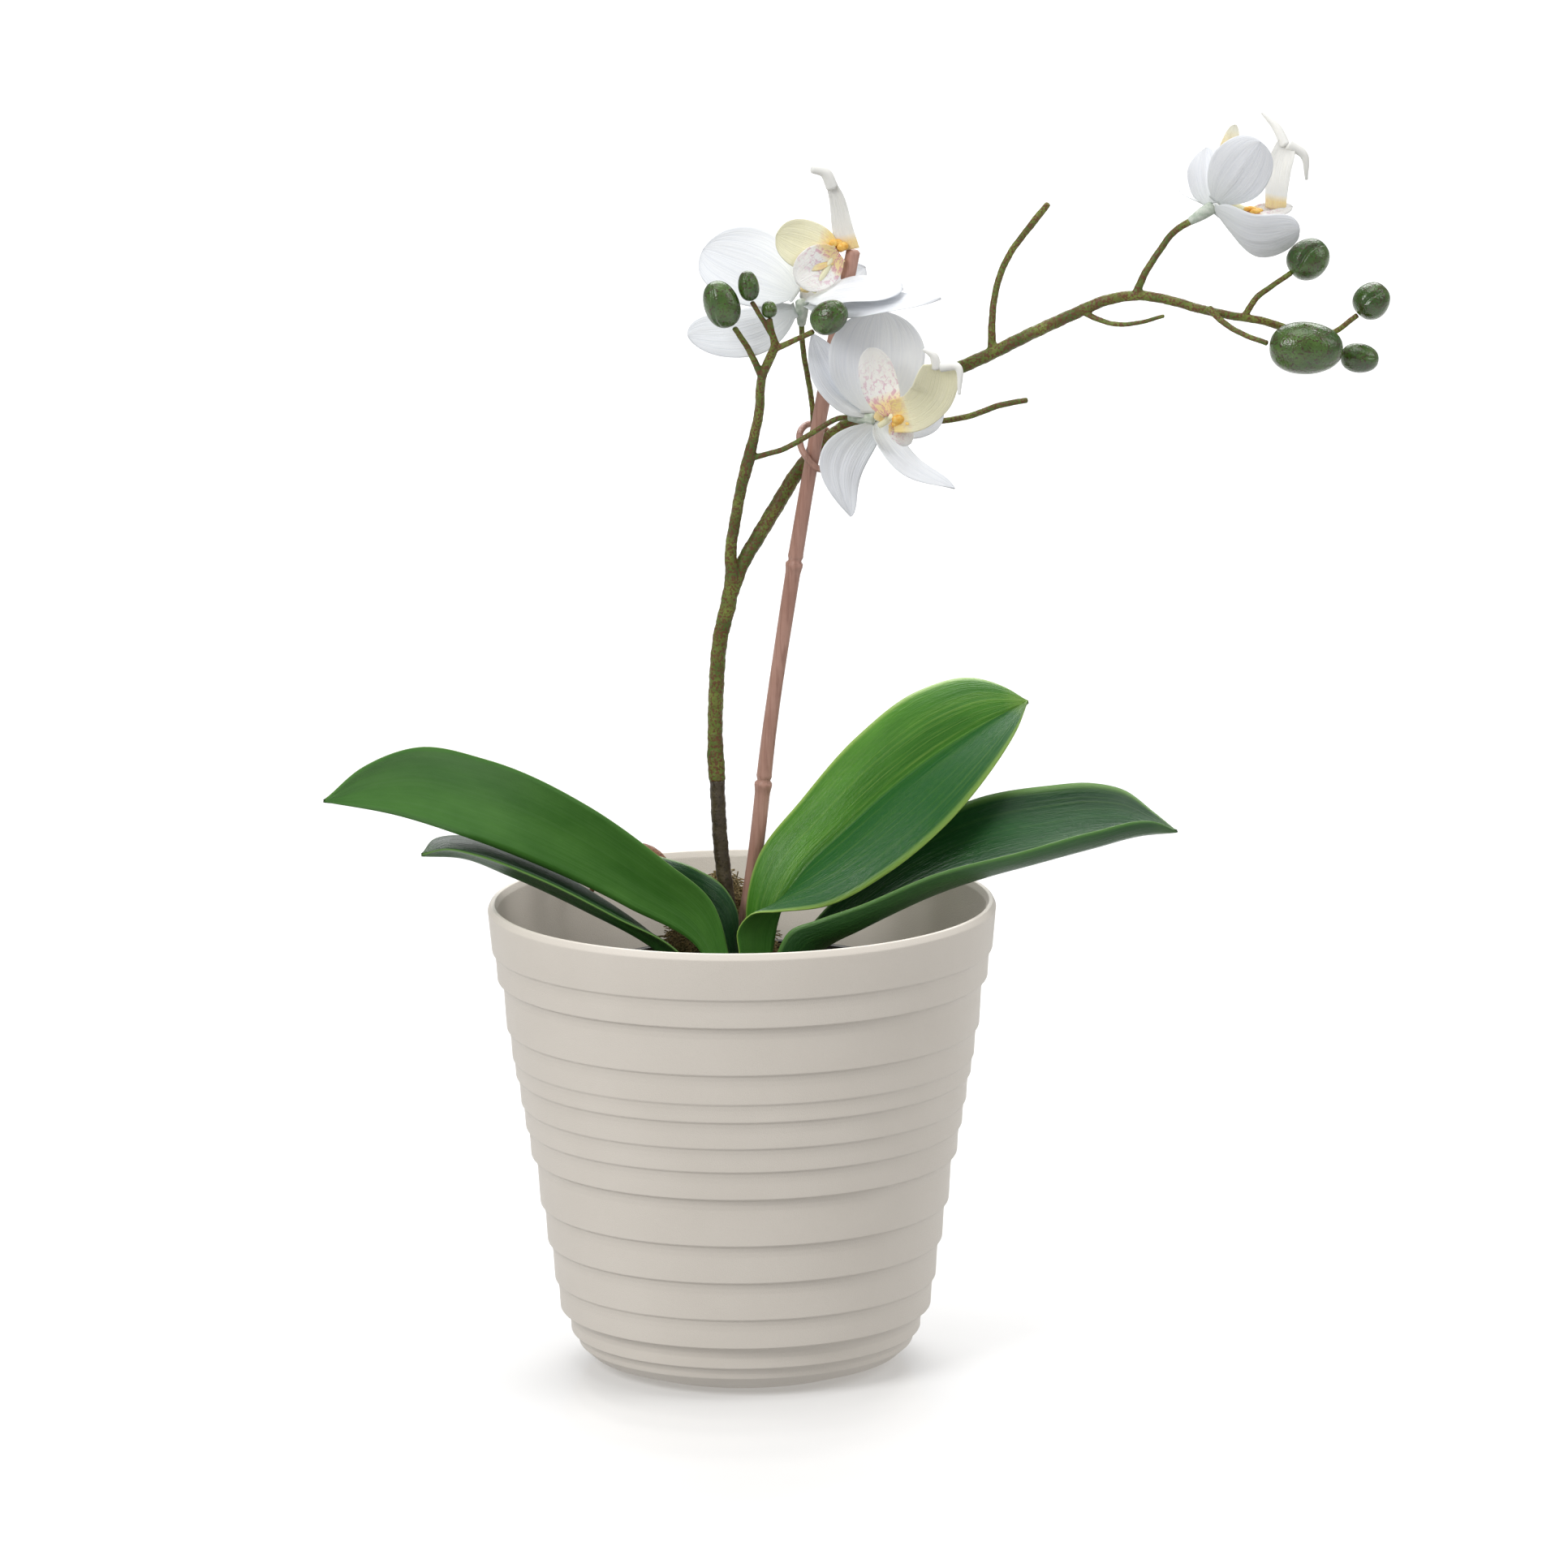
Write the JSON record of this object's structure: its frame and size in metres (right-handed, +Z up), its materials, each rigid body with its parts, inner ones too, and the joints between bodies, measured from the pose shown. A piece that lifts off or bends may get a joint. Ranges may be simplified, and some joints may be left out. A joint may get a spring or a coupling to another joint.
{
  "type": "potted orchid",
  "caption": "Artificial white moth orchid with buds, cane and moss in a black nursery pot, standing inside a ridged off-white outer pot.",
  "frame": {"origin": "centre of the outer pot's flat underside", "axes": "+Z up, +X to the right and +Y to the back seen from the front"},
  "size_m": [0.3648, 0.175, 0.4293],
  "materials": {
    "pot_plastic": "matt, fine grain",
    "nursery_plastic": "matt black",
    "potting_foam": "dull foam",
    "moss": "tangled artificial moss fibre",
    "leaf": "satin, veined",
    "root": "satin",
    "stem": "satin, brown speckle",
    "stem_base": "satin",
    "cane": "satin",
    "bud": "glossy, dark specks",
    "petal": "fine veined fabric",
    "lip": "printed fabric and moulding",
    "calyx": "satin"
  },
  "bodies": {
    "root": {"aerial_root": "root", "bud_1": "bud", "bud_2": "bud", "bud_3": "bud", "bud_4": "bud", "bud_5": "bud", "bud_6": "bud", "bud_7": "bud", "bud_8": "bud", "cane": "cane", "cane_tie": "cane", "flower_1_calyx": "calyx", "flower_1_column": "lip", "flower_1_lip": "lip", "flower_1_petal_left": "petal", "flower_1_petal_low": "petal", "flower_1_petal_right": "petal", "flower_1_sepal_back": "petal", "flower_1_sepal_front": "petal", "flower_2_calyx": "calyx", "flower_2_column": "lip", "flower_2_lip": "lip", "flower_2_petal_back": "petal", "flower_2_petal_top": "petal", "flower_2_sepal_bottom": "petal", "flower_2_sepal_front": "petal", "flower_2_sepal_left": "petal", "flower_3_calyx": "calyx", "flower_3_column": "lip", "flower_3_lip": "lip", "flower_3_petal_back": "petal", "flower_3_petal_left": "petal", "flower_3_petal_low": "petal", "flower_3_petal_top": "petal", "flower_3_sepal_low": "petal", "flower_spike": "stem", "leaf_1": "leaf", "leaf_2": "leaf", "leaf_3": "leaf", "leaf_4": "leaf", "leaf_5": "leaf", "moss": "moss", "nursery_pot": "nursery_plastic", "outer_pot": "pot_plastic", "potting_medium": "potting_foam", "stem_lower": "stem_base"}
  },
  "joints": []
}
